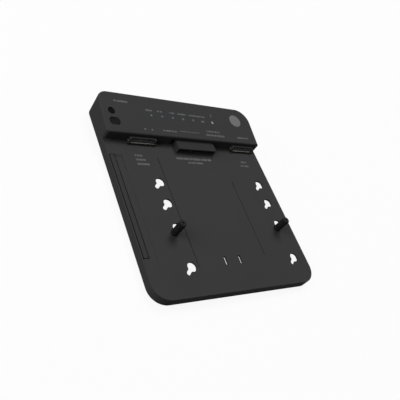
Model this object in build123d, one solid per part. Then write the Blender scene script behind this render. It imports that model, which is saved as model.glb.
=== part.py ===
from build123d import *
import math
import os

# Open-deck drive dock. X runs across, Y towards the control head at the back, Z up.
# The origin is the middle of the plan, at the bottom of the rubber feet. All sizes are millimetres.

# Overall plan and heights
plan_width = 144.0
plan_length = 162.0
corner_radius = 13.0
back_left_radius = 8.0
foot_proud = 1.0
deck_height = 7.4
head_depth = 36.2
head_front_rise = 7.9
head_back_rise = 11.7

# Walls and edges
wall = 2.0
deck_plate = 1.5
tub_floor = 2.0
roof_thickness = 2.0
deck_edge_radius = 0.4
roof_edge_radius = 1.4
head_left_radius = 2.5

# General clearances
sliding_gap = 0.3
fixed_gap = 0.1
running_gap = 0.05

# How far a cutting shape runs past the face it opens
past = 1.0

# Card slots, one at each side of the head
card_slot_left_side = 30.5
card_slot_right_side = 16.7
card_width = 22.0
card_stop_behind_step = 1.1
shortest_card = 42.0
short_card = 60.0
standard_card = 80.0
long_card = 110.0
card_body_depth = 8.4
card_body_height = 3.2
card_body_corner = 0.8
card_mouth_depth = 3.8
card_mouth_height = 1.0
card_mouth_lift = 1.5
card_mouth_side = 0.8
card_lip_depth = 1.15
card_key_offset = 6.1
card_key_width = 1.2
card_contact_pitch = 0.5
card_contact_width = 0.24
card_contact_thickness = 0.14
card_contact_set_back = 1.35
card_contact_side = 1.4
card_tail_length = 0.9
card_window_rise = 5.6

# Keyholes in the deck
keyhole_head_radius = 3.6
keyhole_slot_radius = 1.5
keyhole_travel = 6.0
keyhole_angle = 45.0
keyhole_front_room = 8.0

# Posts
post_radius = 2.75
post_height = 13.0
post_flange_radius = 3.0
post_flange_thickness = 1.2
post_groove_low = 3.2
post_groove_height = 1.1
post_groove_radius = 2.15
post_tip_radius = 0.6
post_socket_radius = 0.8
post_socket_depth = 1.6
post_stud_top_radius = 1.55
post_stud_proud = 0.3

# Middle drive connector
drive_port_x = 5.4
drive_port_width = 36.1
drive_port_reach = 8.4
drive_port_depth = 15.1
drive_port_rise = 4.9
drive_slot_width = 33.4
drive_signal_width = 10.1
drive_key_wall = 2.1
drive_slot_height = 2.2
drive_slot_lift = 1.5
drive_slot_depth = 6.5
drive_slot_hook = 0.9
drive_hook_width = 1.2
drive_edge_radius = 0.5
drive_flange_side = 3.6
drive_window_side = 3.0
drive_contact_pitch = 1.27
drive_signal_contacts = 7
drive_power_contacts = 15
drive_contact_width = 0.6
drive_contact_thickness = 0.3
drive_contact_set_back = 1.3

# Deck slits, guide lines, and the shallow field at the left edge
slit_width = 1.8
slit_length = 6.8
slit_front_margin = 20.0
slit_xs = (-7.4, 5.9)
line_width = 0.5
line_depth = 0.25
left_line_beside_slot = 9.7
left_line_front_margin = 20.3
left_line_back_margin = 14.5
right_line_beside_slot = -24.6
right_line_front_margin = 25.4
right_line_back_margin = 34.4
field_margin = 0.7
field_width = 10.0
field_front_margin = 21.3
field_back_margin = 14.0
field_depth = 0.2
notch_width = 5.2
notch_length = 13.0
notch_depth = 0.45
notch_back_gap = 1.0

# Side strip and its channel
strip_width = 4.1
strip_thickness = 1.8
strip_gap = 0.35
strip_front_margin = 29.9
strip_back_margin = 13.9
strip_edge_radius = 0.3
strip_corner_radius = 1.2
channel_floor = 1.0

# Deck underside
rib_thickness = 1.2
rib_depth = 1.5
rib_beside_left_slot = (-13.0, 17.5)
rib_beside_drive_port = 6.6
rib_beside_right_slot = -14.3
rib_before_card_stop = (21.9, 66.9, 93.9)
foot_boss_radius = 5.8

# Rubber feet
foot_radius = 5.0
foot_recess = 0.6
foot_front_side = 10.0
foot_front_margin = 10.0
foot_back_side = 27.0
foot_back_margin = 11.0
foot_edge_radius = 0.3

# Screws: (head radius, head height, shank radius, shank length)
cover_screw = (2.2, 1.6, 1.25, 8.0)
board_screw = (1.9, 1.0, 1.0, 5.0)
panel_screw = (1.5, 0.8, 0.8, 3.0)
screw_recess_share = 0.55
screw_slot_length_share = 1.3
screw_slot_width_share = 0.28
screw_head_round_share = 0.3
screw_tip_share = 0.5
thread_gap = 0.03

# Cover bosses and tray bosses
cover_boss_radius = 2.7
tray_boss_radius = 3.2
cover_screw_seat = 2.5
cover_boss_side = 4.4
cover_boss_front_left_back = 3.4
cover_boss_front_right_back = 12.4
cover_boss_back_side = 7.0
cover_boss_back_margin = 6.7

# Main board
board_thickness = 1.6
board_lift = 0.1
board_side_gap = 10.5
board_front_gap = 2.5
board_back_gap = 2.8
board_tab_reach = 3.8
board_tab_side = 0.75
board_shoulder_depth = 5.4
board_boss_radius = 2.6
board_hole_radius = 1.15
board_screws_from_left = ((14.5, 4.6), (14.5, 29.4))
board_screws_from_right = ((35.5, 9.4), (15.0, 29.4))

# Panel board under the head's top
panel_thickness = 1.0
panel_left_gap = 2.0
panel_right_beyond_lamp = 5.5
panel_front_gap = 0.7
panel_back_beyond_lamp = 6.7
panel_corner = 0.8
panel_boss_radius = 2.0
panel_hole_radius = 0.9
panel_screws_from_left = ((20.0, 11.0), (20.0, 22.2))
panel_screws_from_panel_end = ((10.0, 10.4), (2.4, 22.2))

# Lamps and light guides
lamp_row_back = 18.0
lamp_first_x = -30.8
lamp_pitch = 9.8
lamp_blue_count = 5
lamp_white_count = 2
lamp_length = 1.6
lamp_width = 0.8
lamp_height = 0.6
lamp_gap = 0.1
guide_radius = 1.0
guide_web_width = 2.4
guide_web_thickness = 0.8
guide_web_lift = 1.0
guide_web_round = 1.0

# Buttons
power_button_side = 8.1
power_button_back = 18.5
power_button_radius = 2.7
power_button_sink = 0.5
start_button_side = 8.7
start_button_back = 9.6
start_button_width = 7.9
start_button_depth = 5.8
start_button_corner = 2.4
start_button_sink = 0.1
start_dish_depth = 0.35
start_dish_radius = 14.4
button_edge_radius = 0.35
button_travel = 0.5
button_flange = 0.7
button_flange_thickness = 0.7
button_ceiling_gap = 0.05
button_bottom_gap = 0.2
switch_size = 4.4
switch_height = 1.0
plunger_radius = 0.9
plunger_bury = 0.3

# Round disc on the head's top
disc_side = 17.5
disc_back = 22.9
disc_radius = 5.8
disc_thickness = 0.5
disc_gap = 0.1

# Power inlet in the back wall
inlet_side = 26.0
inlet_width = 9.0
inlet_body_height = 10.8
inlet_body_depth = 12.0
inlet_centre_lift = 1.6
inlet_collar_radius = 3.9
inlet_collar_root = 1.0
inlet_bore_radius = 3.2
inlet_bore_depth = 9.5
inlet_pin_radius = 1.05
inlet_pin_length = 8.6
inlet_pin_round = 0.6

# Data socket in the back wall
socket_x = -8.0
socket_width = 8.94
socket_height = 3.26
socket_depth = 7.4
socket_shell = 0.32
socket_back_gap = 0.7
tongue_width = 6.7
tongue_thickness = 0.7
tongue_length = 4.6
tongue_chamfer = 0.17

# Board components: sizes as (length, width, height), places as (x or side distance, distance behind the step)
chip_size = (9.0, 9.0, 0.9)
chips_from_middle = ((-36.0, 14.5), (-8.0, 15.0), (14.0, 14.5))
coil_size = (5.0, 5.0, 2.8)
coils_from_left = ((32.0, 30.5),)
coils_from_right = ((35.4, 28.6), (15.4, 21.0))
crystal_size = (3.2, 2.5, 0.8)
crystals_from_middle = ((-25.0, 13.2), (2.0, 13.2))
capacitors_from_right = ((27.0, 14.0), (20.5, 14.0), (14.0, 14.0))
capacitor_radius = 3.0
capacitor_height = 4.2
capacitor_base = 0.8
capacitor_base_side = 0.2
component_corner = 0.4

# Link between the two boards
link_x = 4.0
link_back = 23.0
link_width = 13.0
link_depth = 2.6
link_pin_count = 10
link_pin_side = 0.4

# Worked out from the sizes above
half_width = plan_width / 2
half_length = plan_length / 2
base_z = foot_proud
deck_z = base_z + deck_height
deck_under_z = deck_z - deck_plate
step_y = half_length - head_depth
bulkhead_back_y = step_y + wall
back_inner_y = half_length - wall
roof_front_z = deck_z + head_front_rise
roof_back_z = deck_z + head_back_rise
roof_slope = (roof_back_z - roof_front_z) / head_depth
card_slot_left_x = -half_width + card_slot_left_side
card_slot_right_x = half_width - card_slot_right_side
power_button_x = -half_width + power_button_side
start_button_x = -half_width + start_button_side
power_button_y = step_y + power_button_back
start_button_y = step_y + start_button_back
disc_x = half_width - disc_side
inlet_x = half_width - inlet_side
tub_floor_z = base_z + tub_floor
board_z = deck_z + board_lift
board_top_z = board_z + board_thickness
card_stop_y = step_y + card_stop_behind_step
card_lengths = (shortest_card, short_card, standard_card, long_card)
card_mouth_y = card_stop_y - card_mouth_depth
slide_x = math.cos(math.radians(keyhole_angle))
slide_y = math.sin(math.radians(keyhole_angle))
inlet_z = deck_z + inlet_centre_lift
channel_x = -half_width + field_margin
channel_width = strip_width + 2 * strip_gap
channel_depth = strip_thickness + fixed_gap
strip_front_y = -half_length + strip_front_margin
strip_back_y = step_y - strip_back_margin
field_front_y = -half_length + field_front_margin
field_back_y = step_y - field_back_margin
lamp_y = step_y + lamp_row_back
lamp_xs = [lamp_first_x + lamp_pitch * n for n in range(lamp_blue_count + lamp_white_count)]
link_y = step_y + link_back
far = plan_width + plan_length

nodes_written = []


def from_left(places):
    """Places given by the distance from the left side and behind the step, as X and Y."""
    return [(-half_width + side, step_y + back) for side, back in places]


def from_right(places):
    """Places given by the distance from the right side and behind the step, as X and Y."""
    return [(half_width - side, step_y + back) for side, back in places]


def from_middle(places):
    """Places given by X and the distance behind the step, as X and Y."""
    return [(x, step_y + back) for x, back in places]


def block(x_range, y_range, z_range):
    """A box between two values on each axis."""
    size = [high - low for low, high in (x_range, y_range, z_range)]
    middle = [(high + low) / 2 for low, high in (x_range, y_range, z_range)]
    return Pos(*middle) * Box(*size)


def upright(radius, x, y, z_range):
    """An upright cylinder between two heights."""
    low, high = z_range
    return Pos(x, y, (low + high) / 2) * Cylinder(radius, high - low)


def plan_outline(inset):
    """The plan outline, set in by a wall: round corners, with a tighter one at the back left."""
    width, length = plan_width - 2 * inset, plan_length - 2 * inset
    back_left = Pos(-width / 4, length / 4) * Rectangle(width / 2, length / 2)
    back_left &= RectangleRounded(width, length, back_left_radius - inset)
    return RectangleRounded(width, length, corner_radius - inset) + back_left


def plan_prism(inset, z_range):
    """The plan outline, set in by a wall, between two heights."""
    low, high = z_range
    return Pos(0, 0, low) * extrude(plan_outline(inset), high - low)


def roof_z(y):
    """Height of the head's top face at a distance along Y."""
    return roof_front_z + (y - step_y) * roof_slope


def under_roof(drop, low_z, y_range=None):
    """Everything between a height and the head's top face lowered by a drop."""
    front, back = y_range or (step_y, half_length)
    side = [(front, low_z), (back, low_z), (back, roof_z(back) - drop), (front, roof_z(front) - drop)]
    face = Plane.YZ * Polygon(*side)
    return extrude(face, plan_width, both=True)


def tidy(shape):
    """One clean part from a boolean result."""
    solids = shape.solids()
    return solids[0] if len(solids) == 1 else Compound(children=list(solids))


def save(name, shape):
    """Writes one node, as one solid or a group of separate solids."""
    export_step(tidy(shape), os.path.join("parts", name + ".step"))
    nodes_written.append(name)


def group(pieces):
    """Several separate solids as one node."""
    return Compound(children=[solid for piece in pieces for solid in piece.solids()])


def screw(sizes, x, y, seat_z, head_up):
    """A screw with a crossed recess: its head lies outside the seat, its shank goes the other way."""
    head_radius, head_height, shank_radius, shank_length = sizes
    head = upright(head_radius, 0, 0, (0, head_height))
    head = fillet(head.edges().group_by(Axis.Z)[-1], head_height * screw_head_round_share)
    shank = upright(shank_radius, 0, 0, (-shank_length, 0))
    shank = chamfer(shank.edges().group_by(Axis.Z)[0], shank_radius * screw_tip_share)
    whole = head + shank
    depth = head_height * screw_recess_share
    for angle in (0, 90):
        slot = Box(head_radius * screw_slot_length_share, head_radius * screw_slot_width_share, 2 * depth)
        whole -= Pos(0, 0, head_height) * Rot(0, 0, angle) * slot
    return Pos(x, y, seat_z) * Rot(0 if head_up else 180, 0, 0) * whole


def keyhole(slot_x, slot_y, z_range):
    """A keyhole: the narrow end at the given place, the round head one travel away along the diagonal."""
    low, high = z_range
    head = Pos(slot_x + keyhole_travel * slide_x, slot_y + keyhole_travel * slide_y)
    middle = Pos(slot_x + keyhole_travel * slide_x / 2, slot_y + keyhole_travel * slide_y / 2)
    outline = head * Circle(keyhole_head_radius)
    outline += Pos(slot_x, slot_y) * Circle(keyhole_slot_radius)
    outline += middle * Rot(0, 0, keyhole_angle) * Rectangle(keyhole_travel, 2 * keyhole_slot_radius)
    return Pos(0, 0, low) * extrude(outline, high - low)


def keyhole_places():
    """The narrow end of every keyhole that the deck has room for, from the card lengths."""
    front = -half_length + keyhole_front_room
    rows = [card_stop_y - length for length in card_lengths if card_stop_y - length > front]
    return [(x, y) for x in (card_slot_left_x, card_slot_right_x) for y in rows]


def cover_screw_places():
    """The four screws that hold the head cover to the tray."""
    side = half_width - cover_boss_side
    back_side = half_width - cover_boss_back_side
    back_y = half_length - cover_boss_back_margin
    return [
        (-side, step_y + cover_boss_front_left_back),
        (side, step_y + cover_boss_front_right_back),
        (-back_side, back_y),
        (back_side, back_y),
    ]


def foot_places():
    """The four rubber feet."""
    front_x, front_y = half_width - foot_front_side, -half_length + foot_front_margin
    back_x, back_y = half_width - foot_back_side, half_length - foot_back_margin
    return [(-front_x, front_y), (front_x, front_y), (-back_x, back_y), (back_x, back_y)]


def board_screw_places():
    """The screws that hold the main board to the tray."""
    return from_left(board_screws_from_left) + from_right(board_screws_from_right)


def panel_screw_places():
    """The screws that hold the panel board to the cover."""
    right = [(panel_x_range()[1] - side, step_y + back) for side, back in panel_screws_from_panel_end]
    return from_left(panel_screws_from_left) + right


def panel_x_range():
    """The panel board's left and right ends."""
    return -half_width + wall + panel_left_gap, lamp_xs[-1] + panel_right_beyond_lamp


def panel_y_range():
    """The panel board's front, behind the deepest connector, and its back, behind the lamps."""
    drive_back = step_y - drive_port_reach + drive_port_depth
    front = max(drive_back, card_mouth_y + card_body_depth) + panel_front_gap
    return front, lamp_y + panel_back_beyond_lamp


def ribs():
    """The grid of ribs under the deck plate."""
    low = deck_under_z - rib_depth
    reach_x = (-half_width + wall, half_width - wall)
    reach_y = (-half_length + wall, step_y)
    xs = [card_slot_left_x + beside for beside in rib_beside_left_slot]
    xs += [drive_port_x + rib_beside_drive_port, card_slot_right_x + rib_beside_right_slot]
    ys = [card_stop_y - before for before in rib_before_card_stop if card_stop_y - before > reach_y[0]]
    grid = []
    for x in xs:
        grid.append(block((x - rib_thickness / 2, x + rib_thickness / 2), reach_y, (low, deck_under_z)))
    for y in ys:
        grid.append(block(reach_x, (y - rib_thickness / 2, y + rib_thickness / 2), (low, deck_under_z)))
    return grid


def deck_cuts():
    """Everything that is cut through or into the deck's top."""
    top = deck_z + past
    cuts = [keyhole(x, y, (base_z - past, top)) for x, y in keyhole_places()]
    slit_y = -half_length + slit_front_margin
    for x in slit_xs:
        slit = SlotOverall(slit_length, slit_width, rotation=90)
        slit_place = Pos(x, slit_y + slit_length / 2, base_z - past)
        cuts.append(slit_place * extrude(slit, top - base_z + past))
    left_line = (card_slot_left_x + left_line_beside_slot, left_line_front_margin, left_line_back_margin)
    right_line = (card_slot_right_x + right_line_beside_slot, right_line_front_margin, right_line_back_margin)
    for x, front_margin, back_margin in (left_line, right_line):
        ends = (-half_length + front_margin, step_y - back_margin)
        cuts.append(block((x - line_width / 2, x + line_width / 2), ends, (deck_z - line_depth, top)))
    field = (channel_x, channel_x + field_width)
    cuts.append(block(field, (field_front_y, field_back_y), (deck_z - field_depth, top)))
    notch = (channel_x + channel_width, channel_x + channel_width + notch_width)
    notch_back = field_back_y - notch_back_gap
    cuts.append(block(notch, (notch_back - notch_length, notch_back), (deck_z - notch_depth, top)))
    cuts.append(
        block(
            (channel_x, channel_x + channel_width),
            (strip_front_y - strip_gap, strip_back_y + strip_gap),
            (deck_z - channel_depth, top),
        )
    )
    return cuts


def deck_tray():
    """Deck plate, skirt, ribs, and the shallow tub that carries the main board under the head."""
    tray = plan_prism(0, (base_z, deck_z))
    rims = tray.edges().group_by(Axis.Z)
    tray = fillet(rims[0] + rims[-1], deck_edge_radius)
    inside = plan_prism(wall, (base_z - past, deck_z + past))
    tray -= inside & block((-far, far), (-far, step_y), (base_z - past, deck_under_z))
    tray -= inside & block((-far, far), (bulkhead_back_y, far), (tub_floor_z, deck_z + past))
    for rib in ribs():
        tray += rib
    front_feet = [place for place in foot_places() if place[1] < 0]
    for x, y in front_feet:
        tray += upright(foot_boss_radius, x, y, (base_z, deck_under_z)) & plan_prism(0, (base_z, deck_z))
    channel_under = deck_z - channel_depth - channel_floor
    tray += block(
        (-half_width + wall / 2, channel_x + channel_width + channel_floor),
        (strip_front_y - strip_gap - channel_floor, strip_back_y + strip_gap + channel_floor),
        (channel_under, deck_under_z),
    )
    for x, y in cover_screw_places():
        tray += upright(tray_boss_radius, x, y, (tub_floor_z, deck_z)) & plan_prism(0, (base_z, deck_z))
    for x, y in board_screw_places():
        tray += upright(board_boss_radius, x, y, (tub_floor_z, board_z))
    for cut in deck_cuts():
        tray -= cut
    for x, y in foot_places():
        tray -= upright(foot_radius + fixed_gap, x, y, (base_z - past, base_z + foot_recess))
    for x, y in cover_screw_places():
        tray -= upright(cover_screw[0] + fixed_gap, x, y, (base_z - past, base_z + cover_screw_seat))
        tray -= upright(cover_screw[2] + fixed_gap, x, y, (base_z, deck_z + past))
    for x, y in board_screw_places():
        tray -= upright(board_screw[2] + thread_gap, x, y, (board_z - board_screw[3], board_z + past))
    return tray - inlet_hole()


def inlet_hole():
    """The round hole through the back wall, half in the tray and half in the cover."""
    hole = Cylinder(inlet_collar_radius + sliding_gap, 3 * wall)
    return Pos(inlet_x, half_length, inlet_z) * Rot(90, 0, 0) * hole


def roof_cuts():
    """Openings through the head's top, for the buttons and the light guides."""
    low, high = deck_z, roof_back_z + past
    cuts = [
        upright(power_button_radius + sliding_gap, power_button_x, power_button_y, (low, high)),
        start_button_prism(sliding_gap, (low, high)),
    ]
    for x in lamp_xs:
        cuts.append(upright(guide_radius + running_gap, x, lamp_y, (low, high)))
    return cuts


def head_cover():
    """The raised cover: sloping top, step face with its windows, side and back walls, screw bosses."""
    high = roof_back_z + past
    outer = plan_prism(0, (deck_z, high)) & under_roof(0, deck_z)
    left_edge = outer.edges().filter_by(Axis.Z).group_by(Axis.Y)[0].sort_by(Axis.X)[0]
    outer = fillet(left_edge, head_left_radius)
    rim = outer.faces().sort_by(Axis.Z)[-1].edges()
    outer = fillet(rim, roof_edge_radius)
    inner = plan_prism(wall, (deck_z - past, high))
    inner &= under_roof(roof_thickness, deck_z - past, (bulkhead_back_y, back_inner_y))
    cover = outer - inner
    ceiling = plan_prism(wall / 2, (deck_z, high)) & under_roof(roof_thickness / 2, deck_z)
    for x, y in cover_screw_places():
        cover += upright(cover_boss_radius, x, y, (deck_z, high)) & ceiling
    for x, y in panel_screw_places():
        cover += upright(panel_boss_radius, x, y, (panel_top_z, high)) & ceiling
    for x, y in cover_screw_places():
        reach = base_z + cover_screw_seat + cover_screw[3]
        cover -= upright(cover_screw[2] + thread_gap, x, y, (deck_z - past, reach + fixed_gap))
    for x, y in panel_screw_places():
        reach = panel_z + panel_screw[3]
        cover -= upright(panel_screw[2] + thread_gap, x, y, (panel_top_z - past, reach + fixed_gap))
    for x in (card_slot_left_x, card_slot_right_x):
        side = card_width / 2 + board_tab_side + fixed_gap
        window_z = (deck_z - past, deck_z + card_window_rise)
        cover -= block((x - side, x + side), (step_y - past, bulkhead_back_y + past), window_z)
    side = drive_port_width / 2 + drive_window_side
    port = (drive_port_x - side, drive_port_x + side)
    port_z = (deck_z - past, deck_z + drive_port_rise + 2 * fixed_gap)
    cover -= block(port, (step_y - past, bulkhead_back_y + past), port_z)
    for cut in roof_cuts():
        cover -= cut
    recess = upright(disc_radius + disc_gap, disc_x, step_y + disc_back, (deck_z, high))
    cover -= recess & (under_roof(-past, deck_z) - under_roof(disc_thickness, deck_z - past))
    cover -= inlet_hole()
    cover -= socket_prism(sliding_gap, (back_inner_y - past, half_length + past))
    return cover


def socket_prism(grow, y_range):
    """The data socket's rounded outline, grown by a gap, along Y."""
    front, back = y_range
    outline = SlotOverall(socket_width + 2 * grow, socket_height + 2 * grow)
    middle = (socket_x, back, board_top_z + socket_height / 2)
    return extrude(Plane(origin=middle, x_dir=(1, 0, 0), z_dir=(0, -1, 0)) * outline, back - front)


def start_button_prism(grow, z_range):
    """The start button's rounded outline, grown by a gap."""
    low, high = z_range
    outline = RectangleRounded(
        start_button_width + 2 * grow, start_button_depth + 2 * grow, start_button_corner + grow
    )
    return Pos(start_button_x, start_button_y, low) * extrude(outline, high - low)


def button_under_z(y, reach):
    """Height of a button's flange top: just under the ceiling where the flange is lowest."""
    return roof_z(y - reach) - roof_thickness - button_ceiling_gap


def power_button():
    """Small round button with a rounded rim, sunk a little below the head's top."""
    y = power_button_y
    reach = power_button_radius + button_flange
    flange_top = button_under_z(y, reach)
    cap = upright(power_button_radius, power_button_x, y, (flange_top, roof_back_z + past))
    cap &= under_roof(power_button_sink, deck_z)
    cap = fillet(cap.faces().sort_by(Axis.Z)[-1].edges(), button_edge_radius)
    flange = upright(reach, power_button_x, y, (flange_top - button_flange_thickness, flange_top))
    return cap + flange


def start_button():
    """Rounded oblong button, almost level with the head's top, with a shallow dish."""
    y = start_button_y
    reach = start_button_depth / 2 + button_flange
    flange_top = button_under_z(y, reach)
    cap = start_button_prism(0, (flange_top, roof_back_z + past)) & under_roof(start_button_sink, deck_z)
    cap = fillet(cap.faces().sort_by(Axis.Z)[-1].edges(), button_edge_radius)
    dish_z = roof_z(y) - start_button_sink - start_dish_depth + start_dish_radius
    cap -= Pos(start_button_x, y, dish_z) * Sphere(start_dish_radius)
    flange = start_button_prism(button_flange, (flange_top - button_flange_thickness, flange_top))
    return cap + flange


def button_places():
    """Place and flange bottom of each button: X, Y, Z."""
    power_reach = power_button_radius + button_flange
    start_reach = start_button_depth / 2 + button_flange
    power_z = button_under_z(power_button_y, power_reach) - button_flange_thickness
    start_z = button_under_z(start_button_y, start_reach) - button_flange_thickness
    return [(power_button_x, power_button_y, power_z), (start_button_x, start_button_y, start_z)]


def panel_heights():
    """The panel board's bottom and top: a pressed button stops just short of its switch."""
    lowest = min(z for _, _, z in button_places())
    top = lowest - button_travel - button_bottom_gap - switch_height
    return top - panel_thickness, top


panel_z, panel_top_z = panel_heights()


def switch_plunger(place):
    """The plunger between a button and its switch."""
    x, y, z = place
    return upright(plunger_radius, x, y, (panel_top_z + switch_height - plunger_bury, z))


def panel_switches():
    """The two switch bodies on the panel board."""
    bodies = []
    for x, y, _ in button_places():
        half = switch_size / 2
        z_range = (panel_top_z, panel_top_z + switch_height)
        body = block((x - half, x + half), (y - half, y + half), z_range)
        body = chamfer(body.edges().filter_by(Axis.Z), component_corner)
        body -= upright(plunger_radius + running_gap, x, y, z_range)
        bodies.append(body)
    return group(bodies)


def panel_lamps():
    """One small lamp under each light guide."""
    y_range = (lamp_y - lamp_width / 2, lamp_y + lamp_width / 2)
    z_range = (panel_top_z, panel_top_z + lamp_height)
    return group([block((x - lamp_length / 2, x + lamp_length / 2), y_range, z_range) for x in lamp_xs])


def light_guide(xs):
    """Clear pipes joined by one web, level with the head's top."""
    low = panel_top_z + lamp_height + lamp_gap
    web_z = low + guide_web_lift
    half = guide_web_width / 2
    web = (web_z, web_z + guide_web_thickness)
    guide = block((xs[0] - half, xs[-1] + half), (lamp_y - half, lamp_y + half), web)
    guide = fillet(guide.edges().filter_by(Axis.Z), guide_web_round)
    for x in xs:
        guide += upright(guide_radius, x, lamp_y, (low, roof_back_z + past)) & under_roof(0, low)
    return guide


def top_disc():
    """Plain round disc let into the head's top."""
    disc = upright(disc_radius, disc_x, step_y + disc_back, (deck_z, roof_back_z + past))
    return disc & (under_roof(0, deck_z) - under_roof(disc_thickness, deck_z - past))


def main_board():
    """Board under the head, with a tab below each card slot and a notch round the power inlet."""
    half = half_width - board_side_gap
    front = step_y + board_front_gap
    back = half_length - board_back_gap
    z_range = (board_z, board_top_z)
    board = block((-half, half), (front, back), z_range)
    for x in (card_slot_left_x, card_slot_right_x):
        side = card_width / 2 + board_tab_side
        tab = (step_y - board_tab_reach, front + board_shoulder_depth)
        board += block((x - side, x + side), tab, z_range)
    inlet_half = inlet_width / 2 + sliding_gap
    board -= block(
        (inlet_x - inlet_half, inlet_x + inlet_half),
        (half_length - inlet_body_depth - sliding_gap, half_length),
        (board_z - past, board_top_z + past),
    )
    for x, y in cover_screw_places():
        board -= upright(tray_boss_radius + sliding_gap, x, y, (board_z - past, board_top_z + past))
    for x, y in board_screw_places():
        board -= upright(board_hole_radius, x, y, (board_z - past, board_top_z + past))
    return board


def panel_board():
    """Narrow board under the head's top, for the switches and the lamps."""
    board = block(panel_x_range(), panel_y_range(), (panel_z, panel_top_z))
    board = chamfer(board.edges().filter_by(Axis.Z), panel_corner)
    for x, y in panel_screw_places():
        board -= upright(panel_hole_radius, x, y, (panel_z - past, panel_top_z + past))
    return board


def card_slot(x):
    """Card slot body with a sprung mouth for a card that is put in at a slant."""
    half = card_width / 2
    y_range = (card_mouth_y, card_mouth_y + card_body_depth)
    body = block((x - half, x + half), y_range, (board_top_z, board_top_z + card_body_height))
    body = chamfer(body.edges().filter_by(Axis.Z).group_by(Axis.Y)[-1], card_body_corner)
    mouth_z = board_top_z + card_mouth_lift
    mouth_half = half - card_mouth_side
    mouth = block(
        (x - mouth_half, x + mouth_half),
        (card_mouth_y - past, card_stop_y),
        (mouth_z, mouth_z + card_mouth_height),
    )
    slant = block(
        (x - mouth_half, x + mouth_half),
        (card_mouth_y - past, card_mouth_y + card_lip_depth),
        (mouth_z, board_top_z + card_body_height + past),
    )
    key_x = x + card_key_offset
    key = block(
        (key_x - card_key_width / 2, key_x + card_key_width / 2),
        (card_mouth_y + card_lip_depth, card_stop_y),
        (mouth_z, mouth_z + card_mouth_height),
    )
    return (body - mouth - slant) + key


def card_contacts(x):
    """Two rows of contacts in the mouth and one row of tails on the board in front."""
    mouth_z = board_top_z + card_mouth_lift
    ceiling = mouth_z + card_mouth_height
    lead = card_mouth_y + card_contact_set_back
    count = int((card_width - 2 * card_contact_side) / card_contact_pitch)
    wide = card_contact_width / 2
    thick = card_contact_thickness
    pieces = []
    for n in range(count + 1):
        at = x - count * card_contact_pitch / 2 + n * card_contact_pitch
        if abs(at - x - card_key_offset) > (card_key_width + card_contact_pitch) / 2:
            pieces.append(block((at - wide, at + wide), (lead, card_stop_y), (mouth_z, mouth_z + thick)))
            pieces.append(block((at - wide, at + wide), (lead, card_stop_y), (ceiling - thick, ceiling)))
        tail = (card_mouth_y - card_tail_length, card_mouth_y)
        pieces.append(block((at - wide, at + wide), tail, (board_top_z, board_top_z + thick)))
    return group(pieces)


def drive_slots():
    """X ranges of the signal and power openings in the drive connector."""
    left = drive_port_x - drive_slot_width / 2
    right = drive_port_x + drive_slot_width / 2
    middle = left + drive_signal_width
    return [(left, middle), (middle + drive_key_wall, right)]


def drive_connector():
    """Connector block that reaches out over the deck, flanged behind the step face."""
    half = drive_port_width / 2
    front = step_y - drive_port_reach
    top = deck_z + drive_port_rise
    back = front + drive_port_depth
    face = (drive_port_x - half, drive_port_x + half)
    body = block(face, (front, bulkhead_back_y), (deck_z + fixed_gap, top))
    front_edges = body.edges().group_by(Axis.Y)[0].filter_by(Axis.X)
    body = fillet(front_edges.group_by(Axis.Z)[-1], drive_edge_radius)
    flange = (face[0] - drive_flange_side, face[1] + drive_flange_side)
    board_front = step_y + board_front_gap
    body += block(face, (bulkhead_back_y, board_front - fixed_gap), (deck_z + fixed_gap, top))
    body += block(flange, (bulkhead_back_y + fixed_gap, back), (board_top_z, top))
    floor_z = deck_z + drive_slot_lift
    for low_x, high_x in drive_slots():
        opening_z = (floor_z, floor_z + drive_slot_height)
        body -= block((low_x, high_x), (front - past, front + drive_slot_depth), opening_z)
    left, right = drive_slots()[0][0], drive_slots()[1][1]
    for low_x, high_x in ((left, left + drive_hook_width), (right - drive_hook_width, right)):
        hook = (floor_z - drive_slot_hook, floor_z)
        body -= block((low_x, high_x), (front - past, front + drive_slot_depth), hook)
    return body


def drive_contacts():
    """The contacts of the drive connector, in a short and a long row."""
    front = step_y - drive_port_reach
    top = deck_z + drive_slot_lift + drive_slot_height
    pieces = []
    for (low_x, high_x), count in zip(drive_slots(), (drive_signal_contacts, drive_power_contacts)):
        first = (low_x + high_x) / 2 - (count - 1) * drive_contact_pitch / 2
        for n in range(count):
            x = first + n * drive_contact_pitch
            wide = drive_contact_width / 2
            long = (front + drive_contact_set_back, front + drive_slot_depth)
            pieces.append(block((x - wide, x + wide), long, (top - drive_contact_thickness, top)))
    return group(pieces)


def power_inlet():
    """Power inlet body with a round collar that fills the hole in the back wall."""
    half = inlet_width / 2
    low = inlet_z - inlet_body_height / 2
    collar_back = half_length - fixed_gap
    front = half_length - inlet_body_depth
    z_range = (low, low + inlet_body_height)
    body = block((inlet_x - half, inlet_x + half), (front, back_inner_y - fixed_gap), z_range)
    body = chamfer(body.edges().filter_by(Axis.Y), component_corner)
    collar_length = wall + inlet_collar_root
    collar = Pos(inlet_x, collar_back - collar_length / 2, inlet_z) * Rot(90, 0, 0)
    body += collar * Cylinder(inlet_collar_radius, collar_length)
    bore = Pos(inlet_x, collar_back - inlet_bore_depth / 2 + past / 2, inlet_z) * Rot(90, 0, 0)
    return body - bore * Cylinder(inlet_bore_radius, inlet_bore_depth + past)


def power_inlet_pin():
    """Centre pin of the power inlet, from the back of its bore."""
    start = half_length - fixed_gap - inlet_bore_depth
    pin = Cylinder(inlet_pin_radius, inlet_pin_length)
    pin = Pos(inlet_x, start + inlet_pin_length / 2, inlet_z) * Rot(-90, 0, 0) * pin
    return fillet(pin.edges().group_by(Axis.Y)[-1], inlet_pin_round)


def data_socket_shell():
    """Folded metal shell of the data socket, open at the back wall."""
    back = half_length - socket_back_gap
    shell = socket_prism(0, (back - socket_depth, back))
    return shell - socket_prism(-socket_shell, (back - socket_depth + socket_shell, back + past))


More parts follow.
